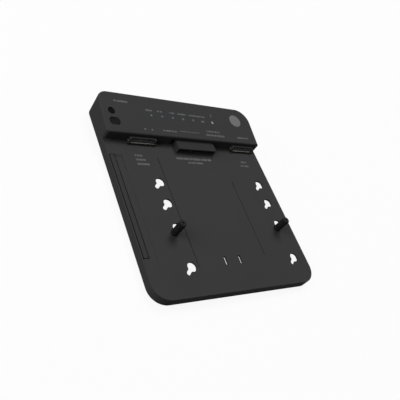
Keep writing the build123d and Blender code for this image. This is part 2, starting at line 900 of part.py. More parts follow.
def data_socket_tongue():
    """Tongue in the middle of the data socket."""
    front = half_length - socket_back_gap - socket_depth + socket_shell
    half = tongue_width / 2
    middle = board_top_z + socket_height / 2
    z_range = (middle - tongue_thickness / 2, middle + tongue_thickness / 2)
    tongue = block((socket_x - half, socket_x + half), (front, front + tongue_length), z_range)
    return chamfer(tongue.edges().filter_by(Axis.X).group_by(Axis.Y)[-1], tongue_chamfer)


def low_parts(size, places):
    """Square low components on the main board."""
    length, width, height = size
    pieces = []
    for x, y in places:
        body = block(
            (x - length / 2, x + length / 2),
            (y - width / 2, y + width / 2),
            (board_top_z, board_top_z + height),
        )
        pieces.append(chamfer(body.edges().filter_by(Axis.Z), component_corner))
    return group(pieces)


def capacitors():
    """Round capacitors on square bases."""
    pieces = []
    for x, y in from_right(capacitors_from_right):
        half = capacitor_radius + capacitor_base_side
        base_top = board_top_z + capacitor_base
        base = block((x - half, x + half), (y - half, y + half), (board_top_z, base_top))
        base = chamfer(base.edges().filter_by(Axis.Z), capacitor_base)
        can = upright(capacitor_radius, x, y, (base_top, board_top_z + capacitor_height))
        can = fillet(can.edges().group_by(Axis.Z)[-1], component_corner)
        pieces.append(base + can)
    return group(pieces)


def board_link():
    """Low plastic body of the link between the two boards."""
    half_x, half_y = link_width / 2, link_depth / 2
    y_range = (link_y - half_y, link_y + half_y)
    body = block((link_x - half_x, link_x + half_x), y_range, (board_top_z, panel_z))
    for x in link_pin_xs():
        body -= link_pin(x, running_gap)
    return body


def link_pin_xs():
    """X of every pin in the board link."""
    pitch = link_width / (link_pin_count + 1)
    return [link_x - link_width / 2 + pitch * (n + 1) for n in range(link_pin_count)]


def link_pin(x, grow):
    """One square pin of the board link, grown by a gap."""
    half = link_pin_side / 2 + grow
    return block((x - half, x + half), (link_y - half, link_y + half), (board_top_z, panel_z))


def side_strip():
    """Narrow strip let into the channel at the left edge, level with the deck."""
    low = deck_z - strip_thickness
    left = channel_x + strip_gap
    strip = block((left, left + strip_width), (strip_front_y, strip_back_y), (low, deck_z))
    strip = fillet(strip.edges().filter_by(Axis.Z).group_by(Axis.Y)[0], strip_corner_radius)
    return fillet(strip.edges().group_by(Axis.Z)[-1], strip_edge_radius)


def rubber_feet():
    """Four round feet, seated in shallow recesses."""
    feet = []
    for x, y in foot_places():
        foot = upright(foot_radius, x, y, (0, base_z + foot_recess))
        feet.append(fillet(foot.edges().group_by(Axis.Z)[0], foot_edge_radius))
    return group(feet)


def post_place(x):
    """Where a post stands: the narrow end of the standard card's keyhole."""
    return x, card_stop_y - standard_card


def post_stud(x):
    """Steel stud of a post: flange under the deck, neck in the keyhole, core up to the tip."""
    at_x, at_y = post_place(x)
    flange_top = deck_under_z - running_gap
    sleeve_low = deck_z + running_gap
    tip = deck_z + post_height
    stud = upright(post_flange_radius, at_x, at_y, (flange_top - post_flange_thickness, flange_top))
    stud += upright(keyhole_slot_radius - fixed_gap, at_x, at_y, (flange_top, sleeve_low))
    stud += upright(post_stud_top_radius, at_x, at_y, (sleeve_low, tip))
    socket = upright(post_socket_radius, at_x, at_y, (tip - post_socket_depth, tip + past))
    return stud - socket


def post_sleeve(x):
    """Black sleeve of a post, with the groove that holds a card's end."""
    at_x, at_y = post_place(x)
    low = deck_z + running_gap
    high = deck_z + post_height - post_stud_proud
    sleeve = upright(post_radius, at_x, at_y, (low, high))
    sleeve = fillet(sleeve.edges().group_by(Axis.Z)[-1], post_tip_radius)
    groove_low = deck_z + post_groove_low
    groove = upright(post_radius + past, at_x, at_y, (groove_low, groove_low + post_groove_height))
    groove -= upright(post_groove_radius, at_x, at_y, (groove_low, groove_low + post_groove_height))
    return sleeve - groove - upright(post_stud_top_radius, at_x, at_y, (low - past, high + past))


def screws(sizes, places, seat_z, head_up):
    """A set of equal screws as one node."""
    return group([screw(sizes, x, y, seat_z, head_up) for x, y in places])


def main():
    """Builds every node and writes its file."""
    os.makedirs("parts", exist_ok=True)
    save("deck_tray", deck_tray())
    save("head_cover", head_cover())
    save("side_strip", side_strip())
    save("rubber_feet", rubber_feet())
    save("cover_screws", screws(cover_screw, cover_screw_places(), base_z + cover_screw_seat, False))
    save("main_board", main_board())
    save("board_screws", screws(board_screw, board_screw_places(), board_top_z, True))
    save("panel_board", panel_board())
    save("panel_screws", screws(panel_screw, panel_screw_places(), panel_z, False))
    save("panel_switches", panel_switches())
    save("panel_lamps", panel_lamps())
    save("blue_light_guide", light_guide(lamp_xs[:lamp_blue_count]))
    save("white_light_guide", light_guide(lamp_xs[lamp_blue_count:]))
    save("power_button", power_button())
    save("start_button", start_button())
    save("power_plunger", switch_plunger(button_places()[0]))
    save("start_plunger", switch_plunger(button_places()[1]))
    save("top_disc", top_disc())
    save("drive_connector", drive_connector())
    save("drive_contacts", drive_contacts())
    for side, x in (("left", card_slot_left_x), ("right", card_slot_right_x)):
        save(side + "_card_slot", card_slot(x))
        save(side + "_card_contacts", card_contacts(x))
        save(side + "_post_stud", post_stud(x))
        save(side + "_post_sleeve", post_sleeve(x))
    save("power_inlet", power_inlet())
    save("power_inlet_pin", power_inlet_pin())
    save("data_socket_shell", data_socket_shell())
    save("data_socket_tongue", data_socket_tongue())
    save("bridge_chips", low_parts(chip_size, from_middle(chips_from_middle)))
    save("power_coils", low_parts(coil_size, from_left(coils_from_left) + from_right(coils_from_right)))
    save("clock_crystals", low_parts(crystal_size, from_middle(crystals_from_middle)))
    save("capacitors", capacitors())
    save("board_link", board_link())
    save("board_link_pins", group([link_pin(x, 0) for x in link_pin_xs()]))
    print(len(nodes_written), "nodes written")


main()
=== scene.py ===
"""The looks of an open-deck drive dock: finishes, printed marks, lenses, contacts and small board parts."""

import logging
import math
import random
from dataclasses import dataclass, field
from enum import Enum
from functools import reduce
from typing import Any, Iterable, Mapping, Optional, Sequence, Union

import bmesh
import bpy
from mathutils import Matrix, Quaternion, Vector


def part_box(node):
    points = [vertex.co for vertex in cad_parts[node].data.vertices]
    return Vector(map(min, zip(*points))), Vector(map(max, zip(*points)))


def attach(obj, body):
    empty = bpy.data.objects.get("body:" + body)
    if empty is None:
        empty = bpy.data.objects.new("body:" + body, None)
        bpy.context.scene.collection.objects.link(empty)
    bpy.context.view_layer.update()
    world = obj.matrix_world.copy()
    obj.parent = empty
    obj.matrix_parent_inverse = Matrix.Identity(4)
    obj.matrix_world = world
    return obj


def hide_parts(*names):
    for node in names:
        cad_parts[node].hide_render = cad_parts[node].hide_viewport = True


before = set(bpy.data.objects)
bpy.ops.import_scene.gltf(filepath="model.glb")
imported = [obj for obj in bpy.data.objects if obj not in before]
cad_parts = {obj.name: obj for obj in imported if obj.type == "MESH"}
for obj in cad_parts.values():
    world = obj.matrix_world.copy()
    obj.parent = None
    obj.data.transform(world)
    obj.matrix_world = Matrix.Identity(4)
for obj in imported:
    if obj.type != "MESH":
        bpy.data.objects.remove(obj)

MM = 0.001
WELD = 1e-7
DOCK = "dock"
log = logging.getLogger("drive_dock")

Colour = tuple[float, float, float]
Axes = tuple[float, float, float]
Feed = Union["Channel", bpy.types.NodeSocket, bpy.types.Material, float, int, bool, str, Sequence[float]]
Key = Union[str, int]
Settings = Optional[Mapping[str, Any]]
Inputs = Optional[Mapping[Key, Feed]]


class Channel:
    """One value in a node tree, with arithmetic that adds its own Math nodes."""

    def __init__(self, web: "Web", socket: bpy.types.NodeSocket) -> None:
        """Wraps one output socket of a web of nodes."""
        self.web = web
        self.socket = socket

    def __add__(self, other: Feed) -> "Channel":
        """This value plus another."""
        return self.web.math("ADD", self, other)

    def __sub__(self, other: Feed) -> "Channel":
        """This value less another."""
        return self.web.math("SUBTRACT", self, other)

    def __rsub__(self, other: Feed) -> "Channel":
        """Another value less this one."""
        return self.web.math("SUBTRACT", other, self)

    def __mul__(self, other: Feed) -> "Channel":
        """This value times another."""
        return self.web.math("MULTIPLY", self, other)

    def __truediv__(self, other: Feed) -> "Channel":
        """This value divided by another."""
        return self.web.math("DIVIDE", self, other)

    __radd__ = __add__
    __rmul__ = __mul__

    def nearest(self, pitch: float) -> "Channel":
        """Distance to the nearest multiple of a pitch, in the unit of this value."""
        return self.web.math("PINGPONG", self, pitch / 2)

    def rise(self, low: float, high: float) -> "Channel":
        """Climbs smoothly from 0 at the low value to 1 at the high one."""
        inputs = {"Value": self, "From Min": low, "From Max": high}
        return self.web.made("ShaderNodeMapRange", {"interpolation_type": "SMOOTHSTEP"}, inputs, "Result")


class Web:
    """A tree of nodes, for a material or for a repeated shape."""

    def __init__(self, tree: bpy.types.NodeTree) -> None:
        """Takes the tree that the nodes go into."""
        self.tree = tree

    @classmethod
    def of(cls, owner: Union[bpy.types.Material, bpy.types.World]) -> "Web":
        """Switches on and empties the nodes of a material or a world.

        Args:
            owner: The material or the world.

        Returns:
            Its web of nodes, with nothing in it.
        """
        owner.use_nodes = True
        owner.node_tree.nodes.clear()
        return cls(owner.node_tree)

    def node(self, kind: str, settings: Settings = None, inputs: Inputs = None) -> bpy.types.Node:
        """Adds one node.

        Args:
            kind: The node's type.
            settings: Its own settings, set before its sockets.
            inputs: The value or the link of each socket, by name or number.

        Returns:
            The node.
        """
        made = self.tree.nodes.new(kind)
        for name, value in (settings or {}).items():
            setattr(made, name, value)
        for key, value in (inputs or {}).items():
            self.feed(made.inputs[key], value)
        return made

    def feed(self, socket: bpy.types.NodeSocket, value: Feed) -> None:
        """Links a channel or a socket to an input, or sets the input's own value.

        Args:
            socket: The input.
            value: What it gets.
        """
        source = value.socket if isinstance(value, Channel) else value
        if isinstance(source, bpy.types.NodeSocket):
            self.tree.links.new(source, socket)
        elif socket.type == "RGBA" and len(source) == 3:
            socket.default_value = (*source, 1.0)
        else:
            socket.default_value = source

    def out(self, node: bpy.types.Node, output: Key = 0) -> Channel:
        """One output of a node as a channel."""
        return Channel(self, node.outputs[output])

    def made(self, kind: str, settings: Settings = None, inputs: Inputs = None, output: Key = 0) -> Channel:
        """Adds one node, as node does, and gives one of its outputs."""
        return self.out(self.node(kind, settings, inputs), output)

    def math(self, operation: str, *values: Feed) -> Channel:
        """The result of one Math node."""
        return self.made("ShaderNodeMath", {"operation": operation}, dict(enumerate(values)))

    def vector_math(self, operation: str, inputs: Inputs) -> Channel:
        """The vector that one Vector Math node gives."""
        return self.made("ShaderNodeVectorMath", {"operation": operation}, inputs)

    def mix(self, share: Feed, first: Feed, second: Feed) -> Channel:
        """Goes from the first colour to the second as the share goes from 0 to 1."""
        return self.made("ShaderNodeMix", {"data_type": "RGBA"}, {0: share, 6: first, 7: second}, 2)


class Wiring(Web):
    """The nodes of one material, with the patterns that finishes share. Places are metres on the piece."""

    def __init__(self, tree: bpy.types.NodeTree) -> None:
        """Starts from the piece's own object coordinates."""
        super().__init__(tree)
        self.place = self.made("ShaderNodeTexCoord", output="Object")
        split = self.node("ShaderNodeSeparateXYZ", inputs={"Vector": self.place})
        self.x, self.y, self.z = (self.out(split, axis) for axis in "XYZ")

    def noise(self, grain: Union[float, Axes], detail: float = 2.0, offset: float = 0.0) -> Channel:
        """Soft noise between 0 and 1.

        Args:
            grain: The size of its patches in millimetres, one number or one for each axis.
            detail: How many finer layers it has.
            offset: Moves the pattern, so that two of one size differ.

        Returns:
            The noise.
        """
        sizes = grain if isinstance(grain, tuple) else (grain, grain, grain)
        scaled = self.vector_math("MULTIPLY", {0: self.place, 1: [1 / (size * MM) for size in sizes]})
        moved = self.vector_math("ADD", {0: scaled, 1: (offset, offset, offset)}) if offset else scaled
        return self.made("ShaderNodeTexNoise", inputs={"Vector": moved, "Scale": 1.0, "Detail": detail})

    def cells(self, size: float, output: str = "Distance") -> Channel:
        """Cells of a size in millimetres, as distance or colour."""
        inputs = {"Vector": self.place, "Scale": 1 / (size * MM)}
        return self.made("ShaderNodeTexVoronoi", {"feature": "F1"}, inputs, output)

    def tinted(self, colour: Colour, tone: Channel) -> Channel:
        """A colour made lighter or darker by a tone round 1."""
        return self.vector_math("SCALE", {0: colour, "Scale": tone})

    def bump(self, height: Channel, depth: float, under: Optional[Channel] = None) -> Channel:
        """The normal over a height of 0 to 1 that is so many millimetres deep, on top of another relief."""
        inputs = {"Height": height, "Distance": depth * MM, "Strength": 1.0}
        return self.made("ShaderNodeBump", None, {**inputs, **({"Normal": under} if under else {})}, "Normal")

    def length(self, across: Channel, along: Channel) -> Channel:
        """The length of a step, from its parts across and along."""
        return self.math("SQRT", across * across + along * along)

    def within(self, value: Channel, edges: Sequence[float]) -> Channel:
        """1 between two limits: it rises between the first two edges and falls between the last two."""
        return value.rise(edges[0], edges[1]) * (1.0 - value.rise(edges[2], edges[3]))

    @staticmethod
    def skin(colour: Channel, roughness: Channel, normal: Channel) -> dict[str, Channel]:
        """The three inputs that nearly every finish varies."""
        return {"Base Color": colour, "Roughness": roughness, "Normal": normal}


@dataclass(frozen=True)
class Finish:
    """One finish: its colour, how rough it is, and what varies over its surface."""

    name: str
    colour: Colour
    roughness: float
    metallic: float = 0.0
    specular: float = 0.5

    def surface(self, web: Wiring) -> dict[str, Channel]:
        """The shader's varying inputs, which each kind of finish works out."""
        raise NotImplementedError(type(self).__name__)

    def constants(self) -> dict[str, Feed]:
        """The shader's inputs that are the same all over."""
        return {
            "Base Color": self.colour,
            "Roughness": self.roughness,
            "Metallic": self.metallic,
            "Specular IOR Level": self.specular,
        }

    def material(self) -> bpy.types.Material:
        """The finish as a material, made once.

        Returns:
            The material of this name.
        """
        found = bpy.data.materials.get(self.name)
        if found:
            return found
        made = bpy.data.materials.new(self.name)
        web = Wiring.of(made)
        inputs = {**self.constants(), **self.surface(web)}
        shader = web.made("ShaderNodeBsdfPrincipled", inputs=inputs)
        web.node("ShaderNodeOutputMaterial", inputs={"Surface": shader})
        return made


@dataclass(frozen=True)
class Grained(Finish):
    """A fine grain and slow clouds. As it stands, it is moulded plastic from a spark-eroded mould."""

    grain: Union[float, Axes] = 0.35
    grain_detail: float = 3.0
    grain_depth: float = 0.03
    grain_tone: float = 0.36
    grain_rough: float = 0.12
    cloud: float = 26.0
    cloud_detail: float = 1.0
    cloud_offset: float = 7.0
    cloud_tone: float = 0.10
    cloud_rough: float = 0.06

    def surface(self, web: Wiring) -> dict[str, Channel]:
        """Grain in relief, tone and roughness, and clouds in tone and roughness.

        Args:
            web: The material's nodes.

        Returns:
            Base colour, roughness and normal.
        """
        grain = web.noise(self.grain, self.grain_detail)
        cloud = web.noise(self.cloud, self.cloud_detail, self.cloud_offset)
        tone = 1.0 + (grain - 0.5) * self.grain_tone + (cloud - 0.5) * self.cloud_tone
        rough = self.roughness + (grain - 0.5) * self.grain_rough + (cloud - 0.5) * self.cloud_rough
        return web.skin(web.tinted(self.colour, tone), rough, web.bump(grain, self.grain_depth))


@dataclass(frozen=True)
class PaintedShadeLines(Grained):
    """Moulded plastic with painted shade along straight lines: darker inside shallow grooves and along a
    strip's edges, where shade falls in the gaps beside it.
    """

    lines: tuple[float, ...] = ()
    top: float = 0.0
    reach: float = 0.5
    core: float = 0.8
    depths: tuple[float, float] = (0.05, 0.4)
    fade: float = 0.05
    shade: float = 0.6
    line_shade_colour: Colour = (0.004, 0.004, 0.004)

    def surface(self, web: Wiring) -> dict[str, Channel]:
        """Adds the lines of painted shade to the moulding's own colour.

        Args:
            web: The material's nodes.

        Returns:
            Base colour, roughness and normal.
        """
        found = super().surface(web)
        # Painted shade: the colour darkens near each line, between two depths under the top, where shade
        # falls in a groove or gap.
        distances = [web.math("ABSOLUTE", web.x - line) for line in self.lines]
        away = reduce(lambda one, other: web.math("MINIMUM", one, other), distances)
        shade_band = 1.0 - away.rise(self.reach * self.core * MM, self.reach * MM)
        shallow, deep = self.depths
        edges = [edge * MM for edge in (shallow, shallow + self.fade, deep - self.fade, deep)]
        share = shade_band * web.within(self.top - web.z, edges) * self.shade
        return {**found, "Base Color": web.mix(share, found["Base Color"], self.line_shade_colour)}


@dataclass(frozen=True)
class Rubber(Finish):
    """Soft rubber: fine pores, and a paler bloom in patches."""

    pore: float = 0.25
    pore_depth: float = 0.02
    patch: float = 3.5
    patch_edges: tuple[float, float] = (0.45, 0.75)
    bloom: Colour = (0.055, 0.055, 0.055)
    bloom_share: float = 0.6
    bloom_rough: float = 0.08

    def surface(self, web: Wiring) -> dict[str, Channel]:
        """Pores in relief and a bloom in colour.

        Args:
            web: The material's nodes.

        Returns:
            Base colour, roughness and normal.
        """
        patches = web.noise(self.patch, detail=4.0).rise(*self.patch_edges)
        colour = web.mix(patches * self.bloom_share, self.colour, self.bloom)
        pores = web.bump(web.cells(self.pore), self.pore_depth)
        return web.skin(colour, self.roughness + patches * self.bloom_rough, pores)


@dataclass(frozen=True)
class Drawn(Grained):
    """Metal with fine parallel lines, from turning, drawing or stamping, across the finest axis."""

    grain: Axes = (9.0, 9.0, 0.06)
    grain_detail: float = 2.0
    grain_depth: float = 0.004
    grain_tone: float = 0.15
    grain_rough: float = 0.2
    cloud: float = 1.8
    cloud_detail: float = 3.0
    cloud_offset: float = 3.0
    cloud_tone: float = 0.24
    cloud_rough: float = 0.15


@dataclass(frozen=True)
class Laminate(Finish):
    """Circuit board: solder mask over copper traces that run across or along in turn, over a glass weave."""

    copper: Colour = (0.026, 0.029, 0.017)
    pitch: float = 0.9
    trace: tuple[float, float] = (0.18, 0.24)
    trace_depth: float = 0.03
    region: float = 7.0
    upright_share: tuple[float, ...] = (0.40, 0.41, 0.70, 0.71)
    via_pitch: float = 4.3
    via_edges: tuple[float, ...] = (0.22, 0.26, 0.42, 0.46)
    weave: float = 0.5
    weave_depth: float = 0.008
    mottle: float = 2.5
    mottle_rough: float = 0.1

    def surface(self, web: Wiring) -> dict[str, Channel]:
        """Traces in colour and relief, vias as small rings, the weave in fine relief.

        Args:
            web: The material's nodes.

        Returns:
            Base colour, roughness and normal.
        """
        pitch, weave = self.pitch * MM, self.weave * MM
        turn = web.made("ShaderNodeSeparateColor", inputs={0: web.cells(self.region, "Color")})
        edges = [share * pitch for share in self.trace]
        across, along = (1.0 - axis.nearest(pitch).rise(*edges) for axis in (web.x, web.y))
        flat = turn.rise(*self.upright_share[2:])
        traces = across * web.within(turn, self.upright_share) + along * flat
        vias = web.within(web.cells(self.via_pitch) * self.via_pitch, self.via_edges)
        copper = web.math("MAXIMUM", traces, vias)
        threads = web.math("MAXIMUM", web.x.nearest(weave), web.y.nearest(weave))
        relief = web.bump(copper, self.trace_depth, web.bump(threads / weave, self.weave_depth))
        rough = self.roughness + (web.noise(self.mottle) - 0.5) * self.mottle_rough
        return web.skin(web.mix(copper, self.colour, self.copper), rough, relief)


@dataclass(frozen=True)
class LitGuide(Finish):
    """Clear light pipe, lit round its upright axes, which stand in a row along X."""

    glow: Colour = (0.1, 0.6, 0.8)
    strength: float = 1.0
    first: Vector = field(default_factory=Vector, compare=False)
    pitch: float = 0.0098
    core: float = 0.9
    beam: tuple[float, float] = (0.35, 1.25)
    dim_to: float = -1.0
    dim_share: float = 0.1
    swirl: float = 0.6
    swirl_tone: float = 0.3
    painted_glow_tone: float = 0.3
    grain: float = 0.5
    grain_rough: float = 0.05
    clear: float = 0.25
    index: float = 1.49

    def constants(self) -> dict[str, Feed]:
        """Adds the light's strength and the clear body to the plain inputs."""
        body = {"Transmission Weight": self.clear, "IOR": self.index}
        return {**super().constants(), "Emission Strength": self.strength, **body}

    def surface(self, web: Wiring) -> dict[str, Channel]:
        """Light that is strongest on each pipe's axis and fades to its wall, and a painted glow: the base
        colour is lighter where that light is strongest.

        Args:
            web: The material's nodes.

        Returns:
            Emission colour, base colour and roughness.
        """
        reach = web.length((web.x - self.first.x).nearest(self.pitch), web.y - self.first.y)
        share = 1.0 - reach.rise(*(part * self.core * MM for part in self.beam))
        bright = self.dim_share + (1.0 - self.dim_share) * web.x.rise(self.dim_to, self.dim_to + MM)
        swirl = (1.0 - self.swirl_tone / 2) + web.noise(self.swirl) * self.swirl_tone
        return {
            "Emission Color": web.tinted(self.glow, share * bright * swirl),
            # Painted glow: the base colour is lighter on each pipe's axis, following the light.
            "Base Color": web.tinted(self.colour, (1.0 - self.painted_glow_tone) + share * self.painted_glow_tone),
            "Roughness": self.roughness + web.noise(self.grain) * self.grain_rough,
        }


@dataclass(frozen=True)
class Ink(Finish):
    """Pad-printed ink, a little patchy, with the moulding's tone coming through."""

    under: Colour = (0.046, 0.046, 0.0465)
    patch: float = 0.28
    patch_edges: tuple[float, float] = (0.46, 0.66)
    patch_rough: float = 0.2
    worn: float = 0.8
    depth: float = 0.006

    def surface(self, web: Wiring) -> dict[str, Channel]:
        """Thin places where the ink lets the plastic show.

        Args:
            web: The material's nodes.

        Returns:
            Base colour, roughness and normal.
        """
        patch = web.noise(self.patch, detail=3.0)
        colour = web.mix(patch.rise(*self.patch_edges) * self.worn, self.colour, self.under)
        rough = self.roughness + (patch - 0.5) * self.patch_rough
        return web.skin(colour, rough, web.bump(patch, self.depth))


@dataclass(frozen=True)
class Grooved(Finish):
    """A smooth disc with fine rings about its middle."""

    middle: Vector = field(default_factory=Vector, compare=False)
    ring: float = 0.42
    ring_depth: float = 0.02
    ring_tones: tuple[float, float] = (0.88, 0.18)
    speck: float = 0.3
    speck_depth: float = 0.006
    speck_tone: float = 0.12
    speck_rough: float = 0.15

    def surface(self, web: Wiring) -> dict[str, Channel]:
        """Rings in relief and tone.

        Args:
            web: The material's nodes.

        Returns:
            Base colour, roughness and normal.
        """
        reach = web.length(web.x - self.middle.x, web.y - self.middle.y)
        rings = (reach.nearest(self.ring * MM) / (self.ring * MM / 2)).rise(0.0, 1.0)
        speck = web.noise(self.speck, detail=3.0)
        least, more = self.ring_tones
        colour = web.tinted(self.colour, least + rings * more + (speck - 0.5) * self.speck_tone)
        normal = web.bump(rings, self.ring_depth, web.bump(speck, self.speck_depth))
        return web.skin(colour, self.roughness + (speck - 0.5) * self.speck_rough, normal)


SHELL = Grained("charcoal_moulding", (0.046, 0.046, 0.0465), 0.72, specular=0.012)
SLEEVE = Grained("sleeve_moulding", (0.014, 0.014, 0.0142), 0.6, specular=0.04, grain=0.22)
CONNECTOR = Grained("connector_moulding", (0.034, 0.034, 0.0345), 0.66, specular=0.015, grain=0.22)
SLOT = Grained("slot_moulding", (0.044, 0.044, 0.0443), 0.62, specular=0.05, grain=0.2)
POWER_KEY = Grained("smooth_key", (0.0025, 0.0025, 0.0025), 0.6, specular=0.02, grain=0.5, grain_depth=0.003)
START_KEY = Grained("soft_key", (0.010, 0.010, 0.010), 0.75, specular=0.03, grain=0.3)
PLUNGER = Grained("natural_moulding", (0.50, 0.48, 0.42), 0.5, grain=0.3)
SWITCH = Grained("switch_moulding", (0.05, 0.05, 0.055), 0.5, grain=0.2)
TONGUE = Grained("tongue_moulding", (0.022, 0.022, 0.024), 0.5, grain=0.2)
RESIN = Grained("chip_resin", (0.028, 0.028, 0.030), 0.7, grain=0.15, grain_depth=0.01)
CHIP_LAMP = Grained("lamp_resin", (0.85, 0.85, 0.78), 0.25, grain=0.3, grain_depth=0.004)
RUBBER = Rubber("foot_rubber", (0.018, 0.018, 0.018), 0.82, specular=0.25)
ZINC = Drawn("zinc_plate", (0.46, 0.47, 0.49), 0.34, metallic=1.0, grain=(0.5, 0.5, 0.12))
STEEL = Drawn("turned_steel", (0.55, 0.55, 0.56), 0.28, metallic=1.0)
SHEET = Drawn("stamped_steel", (0.52, 0.52, 0.52), 0.32, metallic=1.0, grain=(7.0, 0.08, 0.08))
BLACKED = Drawn("blackened_steel", (0.012, 0.012, 0.0122), 0.5, metallic=0.3, specular=0.08)
GOLD = Drawn("gold_flash", (0.78, 0.58, 0.26), 0.25, metallic=1.0, grain=(0.06, 3.0, 0.5), grain_depth=0.002)
# The card contacts' plating shown as a dim grey: painted shade for the head's shadow over the card slots.
SHADE_DIMMED_GOLD = Drawn("shade_dimmed_plating", (0.26, 0.26, 0.24), 0.5, metallic=0.4, grain=(0.06, 3.0, 0.5))
DULL_TIN = Drawn("dull_tin", (0.15, 0.15, 0.14), 0.55, metallic=0.4, grain=(0.4, 0.4, 0.4))
TIN = Drawn("tinned_copper", (0.62, 0.62, 0.60), 0.36, metallic=1.0, grain=(0.4, 0.4, 0.4), grain_depth=0.006)
CAN = Drawn("satin_can", (0.60, 0.60, 0.61), 0.38, metallic=1.0, grain=(6.0, 0.1, 6.0))
MASK = Laminate("solder_mask", (0.012, 0.0135, 0.008), 0.5, specular=0.1)
INK = Ink("mark_ink", (0.165, 0.165, 0.167), 0.6, specular=0.05)


@dataclass(frozen=True)
class Box:
    """The corners of one solid, in metres."""

    low: Vector
    high: Vector

    @property
    def middle(self) -> Vector:
        """Halfway between the corners."""
        return (self.low + self.high) / 2

    @property
    def size(self) -> Vector:
        """From the low corner to the high one."""
        return self.high - self.low


def box_of(node: str) -> Box:
    """The box of one node of the frame."""
    return Box(*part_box(node))


def solids_of(node: str) -> list[Box]:
    """The box of each separate solid of a node, from left to right.

    Args:
        node: The node's name.

    Returns:
        One box for each solid.
    """
    shell = bmesh.new()
    shell.from_mesh(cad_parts[node].data)
    bmesh.ops.remove_doubles(shell, verts=shell.verts, dist=WELD)
    unseen = set(shell.verts)
    found = []
    while unseen:
        waiting = [unseen.pop()]
        places = []
        while waiting:
            vertex = waiting.pop()
            places.append(vertex.co.copy())
            joined = {edge.other_vert(vertex) for edge in vertex.link_edges} & unseen
            unseen -= joined
            waiting.extend(joined)
        found.append(Box(*(Vector([pick(along) for along in zip(*places)]) for pick in (min, max))))
    shell.free()
    return sorted(found, key=lambda box: (round(box.low.x, 6), round(box.low.y, 6), round(box.low.z, 6)))


@dataclass(frozen=True)
class Roof:
    """The head's sloping top: a point on it, its slope, and the frame in which flat marks are laid on it."""

    start: Vector
    slope: float

    @classmethod
    def under_disc(cls, thickness: float) -> "Roof":
        """Finds the top from the disc, so many millimetres thick, that is let into it."""
        disc = box_of("top_disc")
        return cls(Vector((0.0, disc.high.y, disc.high.z)), (disc.size.z - thickness * MM) / disc.size.y)

    def matrix(self) -> Matrix:
        """Lays a flat drawing on the top.

        Returns:
            The frame. X and Y stay over the plan's, and Z leans with the top.
        """
        lean = Matrix.Rotation(math.atan(self.slope), 4, "X")
        stretch = Matrix.Diagonal((1.0, math.hypot(1.0, self.slope), 1.0, 1.0))
        return Matrix.Translation((0.0, 0.0, self.start.z - self.start.y * self.slope)) @ lean @ stretch


class Shape(Enum):
    """The small shapes that can be repeated, with the names of their sizes in order."""

    PLATE = ("Length", "Width", "Thickness", "Corner")
    BUTTON = ("Radius", "Height", "Crown")
    RING = ("Radius", "Band", "Height")
    LEAD = ("Reach", "Drop", "Foot", "Width", "Thickness")


@dataclass(frozen=True)
class Spot:
    """One place of a repeated shape: millimetres, degrees about Z, and how much it is stretched."""

    x: float
    y: float
    z: float = 0.0
    turn: float = 0.0
    stretch: Axes = (1.0, 1.0, 1.0)


